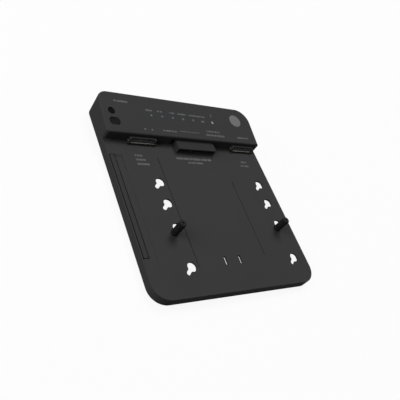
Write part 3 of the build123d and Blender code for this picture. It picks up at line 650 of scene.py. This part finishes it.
class Pattern(Web):
    """The geometry tree of one repeated shape. The method of the shape's own name draws it."""

    CROWN_STEPS = 4
    CROWN_END = math.radians(80)
    BUTTON_SIDES = 28
    RING_SIDES = 40
    BEND = 1.25

    def __init__(self, name: str, shape: Shape, finish: Finish) -> None:
        """Builds the tree.

        Args:
            name: The tree's name.
            shape: What it repeats.
            finish: The finish it ends in.
        """
        super().__init__(bpy.data.node_groups.new(name, "GeometryNodeTree"))
        face = self.tree.interface
        face.new_socket("Geometry", in_out="INPUT", socket_type="NodeSocketGeometry")
        self.sockets = [
            face.new_socket(size, in_out="INPUT", socket_type="NodeSocketFloat").identifier
            for size in shape.value
        ]
        face.new_socket("Geometry", in_out="OUTPUT", socket_type="NodeSocketGeometry")
        self.given = self.node("NodeGroupInput")
        spots = {
            "Points": self.given.outputs["Geometry"],
            "Instance": getattr(self, shape.name.lower())(),
            "Rotation": self.made("ShaderNodeCombineXYZ", inputs={"Z": self.named("turn", "FLOAT")}),
            "Scale": self.named("stretch", "FLOAT_VECTOR"),
        }
        spread = self.made("GeometryNodeInstanceOnPoints", inputs=spots)
        real = self.made("GeometryNodeRealizeInstances", inputs={0: spread})
        dressed = self.made("GeometryNodeSetMaterial", inputs={0: real, "Material": finish.material()})
        self.node("NodeGroupOutput", inputs={0: dressed})

    def size(self, name: str) -> Channel:
        """One of the shape's named sizes."""
        return self.out(self.given, name)

    def named(self, name: str, data_type: str) -> Channel:
        """An attribute of the places."""
        return self.made("GeometryNodeInputNamedAttribute", {"data_type": data_type}, {"Name": name})

    def rectangle(self, width: str, height: str) -> Channel:
        """A flat rectangle, by the names of its sizes."""
        sizes = {"Width": self.size(width), "Height": self.size(height)}
        return self.made("GeometryNodeCurvePrimitiveQuadrilateral", {"mode": "RECTANGLE"}, sizes)

    def circle(self, sides: int) -> Channel:
        """A flat circle of the shape's radius."""
        around = {"Resolution": sides, "Radius": self.size("Radius")}
        return self.made("GeometryNodeCurvePrimitiveCircle", {"mode": "RADIUS"}, around)

    def swept(self, path: Channel, section: Channel, caps: bool) -> Channel:
        """A section carried along a path, with or without closed ends."""
        inputs = {"Curve": path, "Profile Curve": section, "Fill Caps": caps}
        return self.made("GeometryNodeCurveToMesh", inputs=inputs)

    def closed(self, outline: Channel, levels: Sequence[tuple[Feed, float]]) -> Channel:
        """A closed body that climbs from an outline, narrower at each level.

        Args:
            outline: A closed flat curve.
            levels: Each level's rise and the share of the last level's width.

        Returns:
            The body.
        """
        floor = self.made("GeometryNodeFillCurve", {"mode": "NGONS"}, {0: outline})
        body = floor
        top: dict[str, Channel] = {}
        for rise, share in levels:
            inputs = {"Mesh": body, "Offset Scale": rise, "Individual": False, **top}
            grown = self.node("GeometryNodeExtrudeMesh", {"mode": "FACES"}, inputs)
            body, top = self.out(grown, "Mesh"), {"Selection": self.out(grown, "Top")}
            if share < 1.0:
                shrink = {"Geometry": body, "Scale": share, **top}
                body = self.made("GeometryNodeScaleElements", {"domain": "FACE"}, shrink)
        under = self.made("GeometryNodeFlipFaces", inputs={"Mesh": floor})
        joined = self.node("GeometryNodeJoinGeometry")
        for part in (body, under):
            self.feed(joined.inputs[0], part)
        merged = {"Geometry": joined.outputs[0], "Distance": WELD}
        return self.made("GeometryNodeMergeByDistance", inputs=merged)

    def plate(self) -> Channel:
        """A flat plate with round corners.

        Returns:
            Its body.
        """
        corner = {"Count": 3, "Radius": self.size("Corner"), "Limit Radius": True}
        outline = {0: self.rectangle("Length", "Width"), **corner}
        rounded = self.made("GeometryNodeFilletCurve", {"mode": "POLY"}, outline)
        return self.closed(rounded, [(self.size("Thickness"), 1.0)])

    def button(self) -> Channel:
        """A round body with a domed crown.

        Returns:
            Its body.
        """
        levels: list[tuple[Feed, float]] = [(self.size("Height") - self.size("Crown"), 1.0)]
        angles = [self.CROWN_END * step / self.CROWN_STEPS for step in range(self.CROWN_STEPS + 1)]
        for last, angle in zip(angles, angles[1:]):
            rise = (math.sin(angle) - math.sin(last)) / math.sin(angles[-1])
            levels.append((self.size("Crown") * rise, math.cos(angle) / math.cos(last)))
        return self.closed(self.circle(self.BUTTON_SIDES), levels)

    def ring(self) -> Channel:
        """A flat ring with a square section, centred on its own height."""
        return self.swept(self.circle(self.RING_SIDES), self.rectangle("Band", "Height"), False)

    def lead(self) -> Channel:
        """A bent lead: out along X, down, and along its foot.

        Returns:
            Its body.
        """
        reach, drop, foot = (self.size(name) for name in ("Reach", "Drop", "Foot"))
        bend, low = reach * self.BEND, drop * -1.0
        corners = [(0.0, 0.0), (reach, 0.0), (bend, low), (bend + foot, low)]
        start = {"Count": len(corners), "Offset": (0.0, 0.0, 0.0)}
        body = self.made("GeometryNodeMeshLine", {"mode": "OFFSET"}, start)
        order = self.made("GeometryNodeInputIndex")
        for number, (x, z) in enumerate(corners):
            same = {"data_type": "INT", "operation": "EQUAL"}
            here = self.made("FunctionNodeCompare", same, {2: order, 3: number})
            place = self.made("ShaderNodeCombineXYZ", inputs={"X": x, "Z": z})
            moved = {"Geometry": body, "Selection": here, "Position": place}
            body = self.made("GeometryNodeSetPosition", inputs=moved)
        path = self.made("GeometryNodeMeshToCurve", inputs={0: body})
        return self.swept(path, self.rectangle("Width", "Thickness"), True)


def placed(name: str, data: bpy.types.ID) -> bpy.types.Object:
    """Puts a mesh, a lamp or a camera in the scene.

    Args:
        name: The object's name.
        data: What it holds.

    Returns:
        The object.
    """
    made = bpy.data.objects.new(name, data)
    bpy.context.scene.collection.objects.link(made)
    return made


def finish_mesh(mesh: bpy.types.Mesh, smooth_to: float = 40.0) -> None:
    """Merges doubles, points the faces outwards and smooths all but the sharp edges.

    Args:
        mesh: The mesh.
        smooth_to: The largest angle between faces that still looks round, in degrees.
    """
    shell = bmesh.new()
    shell.from_mesh(mesh)
    bmesh.ops.remove_doubles(shell, verts=shell.verts, dist=2 * WELD)
    bmesh.ops.recalc_face_normals(shell, faces=shell.faces)
    shell.to_mesh(mesh)
    shell.free()
    mesh.shade_smooth()
    mesh.set_sharp_from_angle(angle=math.radians(smooth_to))


def repeated(
    name: str,
    shape: Shape,
    sizes: Sequence[float],
    spots: Sequence[Spot],
    finish: Finish,
    place: Optional[Matrix] = None,
) -> bpy.types.Object:
    """Repeats one small shape at many places and keeps the result as a plain mesh.

    Args:
        name: The piece's name.
        shape: What is repeated.
        sizes: The shape's sizes in millimetres, in the order of their names.
        spots: Where it goes.
        finish: Its finish.
        place: Where the drawing lies in the dock's frame, if not level with it.

    Returns:
        The piece.
    """
    points = bpy.data.meshes.new(name + "_spots")
    points.from_pydata([(spot.x * MM, spot.y * MM, spot.z * MM) for spot in spots], [], [])
    turn = points.attributes.new("turn", "FLOAT", "POINT")
    turn.data.foreach_set("value", [math.radians(spot.turn) for spot in spots])
    stretch = points.attributes.new("stretch", "FLOAT_VECTOR", "POINT")
    stretch.data.foreach_set("vector", [number for spot in spots for number in spot.stretch])
    piece = placed(name, points)
    pattern = Pattern(name + "_pattern", shape, finish)
    modifier = piece.modifiers.new("repeat", "NODES")
    modifier.node_group = pattern.tree
    for identifier, size in zip(pattern.sockets, sizes, strict=True):
        modifier[identifier] = size * MM
    evaluated = piece.evaluated_get(bpy.context.evaluated_depsgraph_get())
    mesh = bpy.data.meshes.new_from_object(evaluated)
    piece.modifiers.remove(modifier)
    piece.data = mesh
    if place is not None:
        mesh.transform(place)
    finish_mesh(mesh)
    return piece


def turned(
    name: str,
    profile: Sequence[tuple[float, float]],
    middles: Iterable[Vector],
    finish: Finish,
    sides: int = 48,
) -> bpy.types.Object:
    """A piece turned about an upright axis, at one or more places.

    Args:
        name: The piece's name.
        profile: Radius and height of each corner in millimetres, from the axis below to the axis above.
        middles: The foot of each axis, in metres.
        finish: Its finish.
        sides: How many sides stand for the round.

    Returns:
        The piece.
    """
    shell = bmesh.new()
    around = [math.tau * n / sides for n in range(sides)]
    for middle in middles:
        rings = []
        for radius, height in profile:
            steps = around if radius > 0 else around[:1]
            places = [Vector((math.cos(step) * radius, math.sin(step) * radius, height)) for step in steps]
            rings.append([shell.verts.new(middle + place * MM) for place in places])
        for lower, upper in zip(rings, rings[1:]):
            for n in range(sides):
                after = (n + 1) % sides
                corners = [lower[n % len(lower)], lower[after % len(lower)]]
                corners += [upper[after % len(upper)], upper[n % len(upper)]]
                shell.faces.new(list(dict.fromkeys(corners)))
    mesh = bpy.data.meshes.new(name)
    shell.to_mesh(mesh)
    shell.free()
    finish_mesh(mesh)
    mesh.materials.append(finish.material())
    return placed(name, mesh)


Line = tuple[float, float, float, float]
BAR = 0.75
BAR_SHARES = (0.55, 1.6)
BAR_LEAST = 0.3
GAP = 0.4
GAP_SHARES = (1.0, 1.0, 1.0, 2.2)


def printed(lines: Sequence[Line], seed: int, z: float) -> list[Spot]:
    """Short plain bars of uneven length along each line, in place of lettering.

    Args:
        lines: The lines, each by its left end, right end, place along Y and height, in millimetres.
        seed: Fixes how uneven the bars are.
        z: Their height in millimetres.

    Returns:
        One spot for each bar, stretched from a bar 1 mm long and 1 mm tall.
    """
    pick = random.Random(seed)
    spots = []
    for start, end, y, tall in lines:
        while start < end - BAR_LEAST:
            length = min(BAR * pick.uniform(*BAR_SHARES), end - start)
            spots.append(Spot(start + length / 2, y, z, stretch=(length, tall, 1.0)))
            start += length + GAP * pick.choice(GAP_SHARES)
    return spots


class SubAssembly:
    """A group of pieces that are dressed and reported together."""

    def dress(self, finish: Finish, *nodes: str) -> None:
        """Gives nodes of the frame a finish.

        Args:
            finish: The finish.
            nodes: The nodes' names.
        """
        for name in nodes:
            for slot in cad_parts[name].material_slots:
                slot.material = finish.material()
            log.info("%s dressed in %s", name, finish.name)

    def fit(self, piece: bpy.types.Object, slot: str, body: str = DOCK, replaces: Sequence[str] = ()) -> None:
        """Fits a new piece to a body of the frame.

        Args:
            piece: The piece.
            slot: A material slot of the record; not used.
            body: The body that it rides on.
            replaces: The nodes that it stands for.
        """
        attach(piece, body)
        if replaces:
            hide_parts(*replaces)
        log.info("%s rides on %s, %d faces", piece.name, body, len(piece.data.polygons))


PRINT_SIZES = (1.0, 1.0, 0.03, 0.12)
PRINT_LIFT = -0.005
SINK = 0.01


@dataclass
class Deck(SubAssembly):
    """The open deck: tray, side strip and the lines printed by each port."""

    lines: tuple[Line, ...] = (
        (-50.5, -44.2, 31.2, 1.7), (-50.5, -42.9, 27.4, 1.7), (-50.7, -40.9, 23.5, 1.7),
        (-14.6, 19.2, 30.9, 1.9), (-4.9, 8.9, 27.2, 1.6), (50.5, 56.8, 31.0, 1.6), (48.5, 57.8, 27.0, 1.6),
    )
    seed: int = 11
    guide_lines: Mapping[str, float] = field(default_factory=lambda: {"left": 9.7, "right": -24.6})
    strip_shade: float = 0.75

    def build(self) -> None:
        """Dresses the deck and prints its lines."""
        strip = box_of("side_strip")
        guides = tuple(
            box_of(side + "_card_slot").middle.x + shift * MM for side, shift in self.guide_lines.items()
        )
        plastic = {"roughness": SHELL.roughness, "specular": SHELL.specular, "top": strip.high.z}
        # The guide grooves and the side strip's edges get painted shade in their colour.
        self.dress(PaintedShadeLines("groove_shade_moulding", SHELL.colour, lines=guides, **plastic), "deck_tray")
        edges = {"lines": (strip.low.x, strip.high.x), "depths": (-0.1, 2.0), "shade": self.strip_shade}
        self.dress(PaintedShadeLines("strip_edge_shade_moulding", (0.043, 0.043, 0.0435), **edges, **plastic), "side_strip")
        spots = printed(self.lines, self.seed, strip.high.z / MM + PRINT_LIFT)
        self.fit(repeated("deck_marks", Shape.PLATE, PRINT_SIZES, spots, INK), "disc_grey")


@dataclass
class Head(SubAssembly):
    """The raised head: cover, buttons, lamps with their lenses, printed ticks, and the round disc."""

    disc_thickness: float = 0.5
    ticks: tuple[Line, ...] = (
        (-34.6, -28.4, 67.5, 1.4), (-24.3, -18.7, 67.5, 1.4), (-13.0, -8.6, 67.5, 1.4),
        (-5.0, 2.9, 67.5, 1.4), (5.5, 22.1, 67.5, 1.4), (28.6, 29.8, 70.0, 3.0),
        (-40.5, -39.3, 49.7, 1.4), (-34.3, -33.1, 49.7, 1.4), (-24.2, -10.5, 50.1, 1.3),
        (-8.1, 10.6, 50.9, 0.7), (18.6, 32.2, 53.6, 1.6), (17.3, 35.7, 50.0, 1.8),
        (50.3, 61.8, 50.3, 1.6), (-60.2, -48.6, 72.6, 1.6),
    )
    seed: int = 23
    lens_radius: float = 0.95
    lens_crown: float = 0.3
    lens_dome: float = 0.8
    lens_stretches: Mapping[str, tuple[Axes, ...]] = field(
        default_factory=lambda: {"blue": ((1.25, 1.25, 1.0),), "white": ((1.9, 0.6, 0.6), (0.75, 1.5, 1.0))}
    )
    guides: Mapping[str, Mapping[str, Any]] = field(
        default_factory=lambda: {
            "blue": {"colour": (0.03, 0.05, 0.056), "core": 1.15, "glow": (0.022, 0.035, 0.038)},
            "white": {"colour": (0.08, 0.08, 0.08), "core": 2.0, "glow": (0.17, 0.17, 0.17)}
            | {"dim_to": 0.0235, "dim_share": 0.12},
        }
    )
    guide_web: float = 1.2
    lamp_pitch: float = 9.8
    ring_shares: tuple[float, ...] = (0.35, 0.65, 0.92)
    ring_band: float = 0.3
    ring_height: float = 0.08

    def build(self) -> None:
        """Dresses the head, and adds its lenses, ticks and disc rings."""
        roof = Roof.under_disc(self.disc_thickness)
        self.dress(SHELL, "head_cover")
        self.dress(POWER_KEY, "power_button")
        self.dress(START_KEY, "start_button")
        self.dress(PLUNGER, "power_plunger", "start_plunger")
        self.lamps(roof)
        self.disc(roof)
        shrink = math.hypot(1.0, roof.slope)
        lines = [(start, end, y, tall / shrink) for start, end, y, tall in self.ticks]
        spots = printed(lines, self.seed, PRINT_LIFT)
        self.fit(repeated("head_marks", Shape.PLATE, PRINT_SIZES, spots, INK, roof.matrix()), "disc_grey")

    def lamps(self, roof: Roof) -> None:
        """Dresses the light guides and gives each lamp a lens.

        Args:
            roof: The head's sloping top.
        """
        pitch, edge, crown = self.lamp_pitch * MM, self.guide_web * MM, self.lens_crown
        sizes = (self.lens_radius, crown, crown * self.lens_dome)
        blue = box_of("blue_light_guide")
        row = {"first": Vector((blue.low.x + edge, blue.middle.y, 0.0)), "pitch": pitch, "specular": 0.1}
        for tone, look in self.guides.items():
            guide, stretches = tone + "_light_guide", self.lens_stretches[tone]
            box = box_of(guide)
            finish = LitGuide("lit_guide_" + tone, roughness=0.4, **look, **row)
            self.dress(finish, guide)
            count, y = round((box.size.x - 2 * edge) / pitch) + 1, box.middle.y / MM
            xs = [(box.low.x + edge + n * pitch) / MM for n in range(count)]
            spots = [Spot(x, y, PRINT_LIFT, 0.0, stretches[n % len(stretches)]) for n, x in enumerate(xs)]
            piece = repeated(tone + "_lenses", Shape.BUTTON, sizes, spots, finish, roof.matrix())
            self.fit(piece, "guide_" + tone)

    def disc(self, roof: Roof) -> None:
        """Dresses the disc and lays three thin rings on it.

        Args:
            roof: The head's sloping top.
        """
        box = box_of("top_disc")
        finish = Grooved("ringed_disc", (0.155, 0.155, 0.157), 0.55, specular=0.1, middle=box.middle)
        self.dress(finish, "top_disc")
        middle = box.middle / MM
        spots = [Spot(middle.x, middle.y, 0.0, 0.0, (share, share, 1.0)) for share in self.ring_shares]
        sizes = (box.size.x / MM / 2, self.ring_band, self.ring_height)
        self.fit(repeated("disc_rings", Shape.RING, sizes, spots, finish, roof.matrix()), "disc_grey")


@dataclass
class Ports(SubAssembly):
    """The middle drive connector and the two card slots, with their contacts, pads and hold-down tabs."""

    pad_reach: float = 0.2
    pad_width: float = 0.3
    pad_thickness: float = 0.06
    pad_corner: float = 0.05
    tab_length: float = 2.6
    tab_width: float = 0.62
    tab_thickness: float = 0.2
    tab_corner: float = 0.12
    tab_overlap: float = 0.02
    tab_behind: float = 0.4
    touch: float = 2e-5

    def build(self) -> None:
        """Dresses the ports and adds pads and tabs beside each card slot."""
        self.dress(CONNECTOR, "drive_connector")
        self.dress(GOLD, "drive_contacts")
        for side in ("left", "right"):
            self.dress(SLOT, side + "_card_slot")
            # Painted shade: the card contacts are dimmed for the head's shadow.
            self.dress(SHADE_DIMMED_GOLD, side + "_card_contacts")
            self.solder(side)

    def solder(self, side: str) -> None:
        """Tinned pads under the tails in front of a card slot, and hold-down tabs at both its ends.

        Args:
            side: Which slot.
        """
        slot, top = box_of(side + "_card_slot"), box_of("main_board").high.z
        z = top / MM - SINK
        tails = [box for box in solids_of(side + "_card_contacts") if abs(box.low.z - top) < self.touch]
        spots = [Spot(tail.middle.x / MM, tail.middle.y / MM, z) for tail in tails]
        pad = (self.pad_width, tails[0].size.y / MM + self.pad_reach, self.pad_thickness, self.pad_corner)
        self.fit(repeated(side + "_slot_pads", Shape.PLATE, pad, spots, DULL_TIN), "pin_steel")
        out = self.tab_width / 2 - self.tab_overlap
        y = slot.low.y / MM + self.tab_length / 2 + self.tab_behind
        spots = [Spot(x, y, z) for x in (slot.low.x / MM - out, slot.high.x / MM + out)]
        tab = (self.tab_width, self.tab_length, self.tab_thickness, self.tab_corner)
        self.fit(repeated(side + "_slot_tabs", Shape.PLATE, tab, spots, DULL_TIN), "pin_steel")


@dataclass
class Posts(SubAssembly):
    """The two sliding posts: a black sleeve on a blackened steel stud."""

    def build(self) -> None:
        """Dresses both posts."""
        for side in ("left", "right"):
            self.dress(SLEEVE, side + "_post_sleeve")
            self.dress(BLACKED, side + "_post_stud")


@dataclass
class Underside(SubAssembly):
    """The open underside: the screws, and rubber feet whose dish is drawn by shares of their radius."""

    dish: tuple[tuple[float, float], ...] = (
        (0.0, 0.28), (0.42, 0.28), (0.5, 0.12), (0.56, 0.12), (0.6, 0.24), (0.72, 0.24), (0.78, 0.0)
    )
    rim: tuple[tuple[float, float], ...] = ((0.3, 0.0), (0.09, 0.09), (0.0, 0.3))

    def build(self) -> None:
        """Adds the feet and dresses the screws."""
        self.dress(ZINC, "cover_screws")
        feet = solids_of("rubber_feet")
        radius, tall = feet[0].size.x / MM / 2, feet[0].size.z / MM
        profile = [(share * radius, height) for share, height in self.dish]
        profile += [(radius - inset, height) for inset, height in self.rim]
        profile += [(radius, tall), (0.0, tall)]
        middles = [Vector((foot.middle.x, foot.middle.y, foot.low.z)) for foot in feet]
        self.fit(turned("moulded_feet", profile, middles, RUBBER), "foot_rubber", replaces=["rubber_feet"])


@dataclass
class Boards(SubAssembly):
    """The main board and the panel board with the parts that sit on them."""

    lead_pitch: float = 0.65
    lead_reach: float = 0.45
    lead_sizes: Axes = (0.5, 0.24, 0.12)
    lead_corner: float = 1.2
    lead_overlap: float = 0.05
    lead_height: float = 0.45
    small_row_behind: float = 24.5
    small_start: float = 22.0
    small_pitch: float = 4.1
    small_count: int = 18
    small_length: float = 1.6
    small_shares: Axes = (0.7, 0.16, 0.42)
    small_section: Axes = (0.8, 0.5, 0.05)

    def build(self) -> None:
        """Dresses the boards and adds chip leads and small parts."""
        self.dress(MASK, "main_board", "panel_board")
        self.dress(ZINC, "board_screws", "panel_screws")
        self.dress(SWITCH, "panel_switches")
        self.dress(CHIP_LAMP, "panel_lamps")
        self.dress(RESIN, "bridge_chips", "power_coils")
        self.dress(CAN, "clock_crystals", "capacitors")
        self.dress(SLOT, "board_link")
        self.dress(TIN, "board_link_pins")
        self.leads()
        self.small_parts()

    def leads(self) -> None:
        """Bent leads along the four sides of each chip."""
        spots = []
        chips = solids_of("bridge_chips")
        for chip in chips:
            middle, half = chip.middle / MM, chip.size.x / MM / 2
            z = chip.low.z / MM + chip.size.z / MM * self.lead_height
            count = int((2 * half - self.lead_corner) / self.lead_pitch)
            for turn in (0.0, 90.0, 180.0, 270.0):
                facing = Matrix.Rotation(math.radians(turn), 2)
                for n in range(count + 1):
                    place = facing @ Vector((half - self.lead_overlap, (n - count / 2) * self.lead_pitch))
                    spots.append(Spot(middle.x + place.x, middle.y + place.y, z, turn))
        foot, width, thickness = self.lead_sizes
        drop = chips[0].size.z / MM * self.lead_height - thickness / 2
        sizes = (self.lead_reach, drop, foot, width, thickness)
        self.fit(repeated("chip_leads", Shape.LEAD, sizes, spots, TIN), "pin_steel")

    def small_parts(self) -> None:
        """A row of small resistors with tinned ends, behind the chips."""
        board = box_of("main_board")
        z = board.high.z / MM
        y = box_of("head_cover").low.y / MM + self.small_row_behind
        start = board.low.x / MM + self.small_start
        middles = [(start + n * self.small_pitch, y) for n in range(self.small_count)]
        body, cap, reach = (self.small_length * share for share in self.small_shares)
        bodies = [Spot(x, y, z) for x, y in middles]
        ends = [Spot(x + side * reach, y, z) for x, y in middles for side in (-1, 1)]
        section = self.small_section
        self.fit(repeated("small_parts", Shape.PLATE, (body, *section), bodies, RESIN), "chip_resin")
        self.fit(repeated("small_part_ends", Shape.PLATE, (cap, *section), ends, TIN), "pin_steel")


@dataclass
class Rear(SubAssembly):
    """The sockets in the back wall."""

    contact_pitch: float = 0.5
    contact_count: int = 12
    contact_length: float = 3.2
    contact_width: float = 0.26
    contact_thickness: float = 0.05
    contact_corner: float = 0.08
    contact_inset: float = 0.35

    def build(self) -> None:
        """Dresses the sockets and adds the tongue's contacts."""
        self.dress(SLOT, "power_inlet")
        self.dress(STEEL, "power_inlet_pin")
        self.dress(SHEET, "data_socket_shell")
        self.dress(TONGUE, "data_socket_tongue")
        tongue = box_of("data_socket_tongue")
        middle = tongue.middle / MM
        y = tongue.high.y / MM - self.contact_length / 2 - self.contact_inset
        first = middle.x - (self.contact_count - 1) / 2 * self.contact_pitch
        sizes = (self.contact_width, self.contact_length, self.contact_thickness, self.contact_corner)
        xs = (first + n * self.contact_pitch for n in range(self.contact_count))
        levels = (tongue.high.z / MM - SINK, tongue.low.z / MM + SINK - self.contact_thickness)
        spots = [Spot(x, y, z) for x in xs for z in levels]
        self.fit(repeated("tongue_contacts", Shape.PLATE, sizes, spots, GOLD), "contact_gold")


@dataclass
class Lamp:
    """One soft studio lamp: where it stands, its side and its power. It looks at the origin of the dock's
    frame.
    """

    name: str
    place: Vector
    side: float
    power: float


@dataclass
class Studio:
    """The pale floor, the soft light and the camera."""

    SEEING = ("Is Camera Ray", "Is Glossy Ray", "Is Transmission Ray")
    WHITE = (1.0, 1.0, 1.0)
    floor_side: float = 6.0
    floor_colour: Colour = (0.1, 0.1, 0.1)
    floor_pale: Colour = (0.85, 0.85, 0.85)
    floor_glow: float = 0.92
    ambient: float = 0.10
    camera_place: Vector = field(default_factory=lambda: Vector((-0.23528, -0.17491, 0.25389)))
    camera_aim: Vector = field(default_factory=lambda: Vector((-0.00072, -0.00154, 0.0)))
    camera_roll: float = 41.821
    camera_lens: float = 46.1
    lamps: tuple[Lamp, ...] = (
        Lamp("key", Vector((0.95, 1.49, 2.71)), 1.4, 64.0),
        Lamp("fill", Vector((-2.38, 0.38, 1.31)), 2.2, 58.0),
    )

    def build(self) -> None:
        """Sets up all of it."""
        self.floor()
        self.world()
        for lamp in self.lamps:
            self.lamp(lamp)
        self.camera()

    def seen(self, web: Web) -> Channel:
        """1 for the rays that see the background: straight, mirrored or through something clear."""
        path = web.node("ShaderNodeLightPath")
        return web.math("MINIMUM", sum(web.out(path, ray) for ray in self.SEEING), 1.0)

    def floor(self) -> None:
        """A pale floor that shows white to the camera but keeps the dock's shadow."""
        made = bpy.data.materials.new("pale_floor")
        web = Web.of(made)
        seen = self.seen(web)
        tone = web.mix(seen, self.floor_colour, self.floor_pale)
        plain = web.made("ShaderNodeBsdfDiffuse", inputs={"Color": tone})
        white = web.made("ShaderNodeEmission", inputs={"Color": self.WHITE, "Strength": 1.0})
        mixed = web.made("ShaderNodeMixShader", inputs={0: seen * self.floor_glow, 1: plain, 2: white})
        web.node("ShaderNodeOutputMaterial", inputs={"Surface": mixed})
        half = self.floor_side / 2
        mesh = bpy.data.meshes.new("floor")
        corners = [(-half, -half, 0), (half, -half, 0), (half, half, 0), (-half, half, 0)]
        mesh.from_pydata(corners, [], [(0, 1, 2, 3)])
        mesh.materials.append(made)
        piece = placed("floor", mesh)

    def world(self) -> None:
        """Weak even light, and white where the background is seen."""
        world = bpy.data.worlds.new("studio")
        bpy.context.scene.world = world
        web = Web.of(world)
        dim, white = (
            web.made("ShaderNodeBackground", inputs={"Color": self.WHITE, "Strength": strength})
            for strength in (self.ambient, 1.0)
        )
        mixed = web.made("ShaderNodeMixShader", inputs={0: self.seen(web), 1: dim, 2: white})
        web.node("ShaderNodeOutputWorld", inputs={"Surface": mixed})

    def lamp(self, lamp: Lamp) -> None:
        """Sets up one square lamp that looks at the dock.

        Args:
            lamp: Its place, size and power.
        """
        light = bpy.data.lights.new(lamp.name, "AREA")
        light.size = lamp.side
        light.energy = lamp.power
        stand = placed(lamp.name, light)
        stand.location = lamp.place
        stand.rotation_euler = (-lamp.place).to_track_quat("-Z", "Y").to_euler()

    def camera(self) -> None:
        """The camera at the photograph's place, rolled as it was."""
        lens = bpy.data.cameras.new("camera")
        lens.sensor_width = 36.0
        lens.lens = self.camera_lens
        lens.clip_start = 0.005
        stand = placed("camera", lens)
        stand.location = self.camera_place
        look = (self.camera_aim - self.camera_place).to_track_quat("-Z", "Y")
        stand.rotation_mode = "QUATERNION"
        stand.rotation_quaternion = look @ Quaternion((0.0, 0.0, 1.0), math.radians(self.camera_roll))
        bpy.context.scene.camera = stand


def main() -> None:
    """Builds and reports every sub-assembly, then the studio."""
    logging.basicConfig(level=logging.INFO, format="%(name)s: %(message)s")
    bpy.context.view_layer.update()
    bpy.context.scene.view_settings.view_transform = "Standard"
    for part in (Studio(), Deck(), Head(), Ports(), Posts(), Underside(), Boards(), Rear()):
        log.info("building %s", type(part).__name__)
        part.build()


if __name__ == "__main__":
    main()
